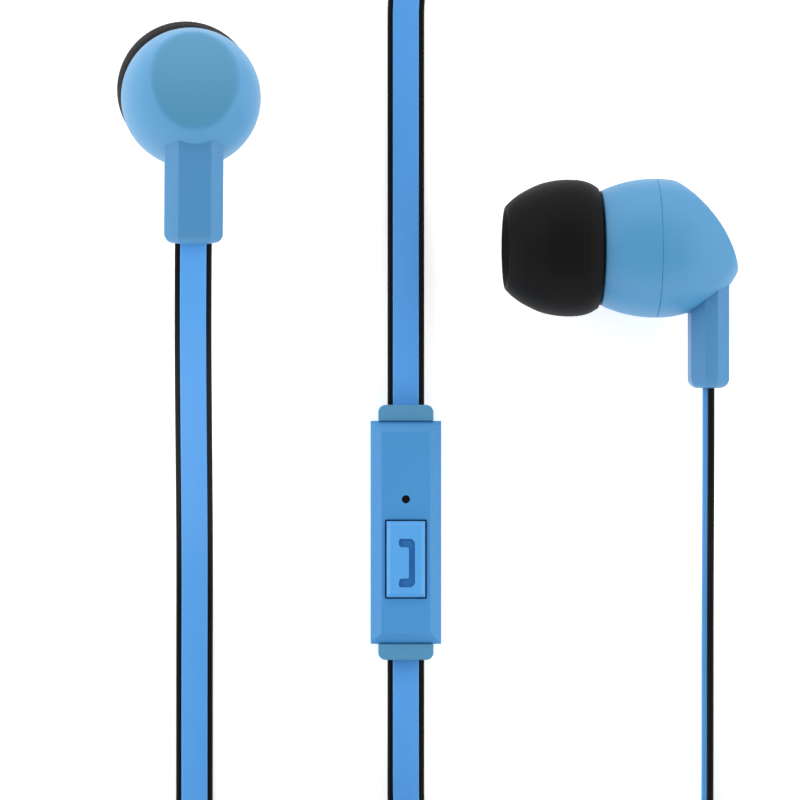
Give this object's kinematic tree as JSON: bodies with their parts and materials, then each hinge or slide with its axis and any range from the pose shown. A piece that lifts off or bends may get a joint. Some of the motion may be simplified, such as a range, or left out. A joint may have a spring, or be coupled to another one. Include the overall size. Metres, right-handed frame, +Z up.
{
  "type": "wired in-ear headset",
  "caption": "Wired in-ear headset with stemmed earbuds, silicone ear tips, flat two-tone cable, in-line microphone remote with call button, splitter and jack plug",
  "frame": {"origin": "on the table, under the middle of the box round the two earbuds", "axes": "+X from the left earbud to the right earbud, +Y away from the cables' plug end, +Z up off the table"},
  "size_m": [0.0822, 0.1439, 0.022],
  "materials": {
    "housing_blue": "satin",
    "stem_blue": "satin",
    "tip_black": "matte",
    "mesh_steel": "woven",
    "driver_steel": "satin",
    "magnet_nickel": "satin",
    "copper": "wound",
    "film_clear": "thin film",
    "board_green": "solder mask",
    "lead_black": "satin",
    "remote_blue": "satin",
    "button_blue": "satin",
    "collar_blue": "satin",
    "switch_black": "matte",
    "mic_brass": "satin",
    "gasket_black": "matte",
    "cable_two_tone": "satin stripe on black",
    "splitter_blue": "satin",
    "contact_gold": "polished plating",
    "insulator_black": "gloss",
    "plug_blue": "satin",
    "plug_black": "matte"
  },
  "bodies": {
    "headset": {"left_front_housing": "housing_blue", "left_rear_housing": "housing_blue", "left_nozzle_mesh": "mesh_steel", "left_driver_cap": "driver_steel", "left_driver_frame": "driver_steel", "left_driver_yoke": "driver_steel", "left_driver_magnet": "magnet_nickel", "left_driver_top_plate": "driver_steel", "left_terminal_board": "board_green", "left_driver_leads": "lead_black", "left_stem": "stem_blue", "right_front_housing": "housing_blue", "right_rear_housing": "housing_blue", "right_nozzle_mesh": "mesh_steel", "right_driver_cap": "driver_steel", "right_driver_frame": "driver_steel", "right_driver_yoke": "driver_steel", "right_driver_magnet": "magnet_nickel", "right_driver_top_plate": "driver_steel", "right_terminal_board": "board_green", "right_driver_leads": "lead_black", "right_stem": "stem_blue", "remote_front_cover": "remote_blue", "remote_back_cover": "remote_blue", "remote_pcb": "board_green", "remote_switch_body": "switch_black", "remote_microphone": "mic_brass", "remote_mic_gasket": "gasket_black", "remote_upper_collar": "collar_blue", "remote_lower_collar": "collar_blue", "left_cable_upper": "cable_two_tone", "left_cable_coil": "cable_two_tone", "left_cable_lower": "cable_two_tone", "right_cable_upper": "cable_two_tone", "right_cable_lower": "cable_two_tone", "main_cable_start": "cable_two_tone", "main_cable_coil": "cable_two_tone", "main_cable_end": "cable_two_tone", "splitter": "splitter_blue", "plug_tip": "contact_gold", "plug_ring_1": "contact_gold", "plug_ring_2": "contact_gold", "plug_sleeve": "contact_gold", "plug_insulator_1": "insulator_black", "plug_insulator_2": "insulator_black", "plug_insulator_3": "insulator_black", "plug_grip": "plug_blue", "plug_strain_relief": "plug_black"},
    "left_tip": {"left_ear_tip": "tip_black"},
    "right_tip": {"right_ear_tip": "tip_black"},
    "call_button": {"remote_button": "button_blue"},
    "switch_plunger": {"remote_switch_plunger": "switch_black"},
    "left_cone": {"left_diaphragm": "film_clear", "left_voice_coil": "copper"},
    "right_cone": {"right_diaphragm": "film_clear", "right_voice_coil": "copper"}
  },
  "joints": [
    {"name": "left_tip_pull", "type": "slide", "parent": "headset", "child": "left_tip", "axis": [-0.0745, 0.108, -0.9914], "range_m": [0, 0.005]},
    {"name": "right_tip_pull", "type": "slide", "parent": "headset", "child": "right_tip", "axis": [-0.9954, 0, 0.0958], "range_m": [0, 0.005]},
    {"name": "button_press", "type": "slide", "parent": "headset", "child": "call_button", "axis": [0, 0, -1], "range_m": [0, 0.0003], "stiffness_N_per_m": 3000, "springref_m": -0.0001},
    {"name": "plunger_press", "type": "slide", "parent": "headset", "child": "switch_plunger", "axis": [0, 0, -1], "range_m": [0, 0.0003]},
    {"name": "left_cone_travel", "type": "slide", "parent": "headset", "child": "left_cone", "axis": [0.0745, -0.108, 0.9914], "range_m": [-0.0001, 0.0001], "stiffness_N_per_m": 300},
    {"name": "right_cone_travel", "type": "slide", "parent": "headset", "child": "right_cone", "axis": [0.9954, 0, -0.0958], "range_m": [-0.0001, 0.0001], "stiffness_N_per_m": 300}
  ],
  "couplings": [
    {"joint": "plunger_press", "follows": "button_press", "ratio": 1}
  ]
}
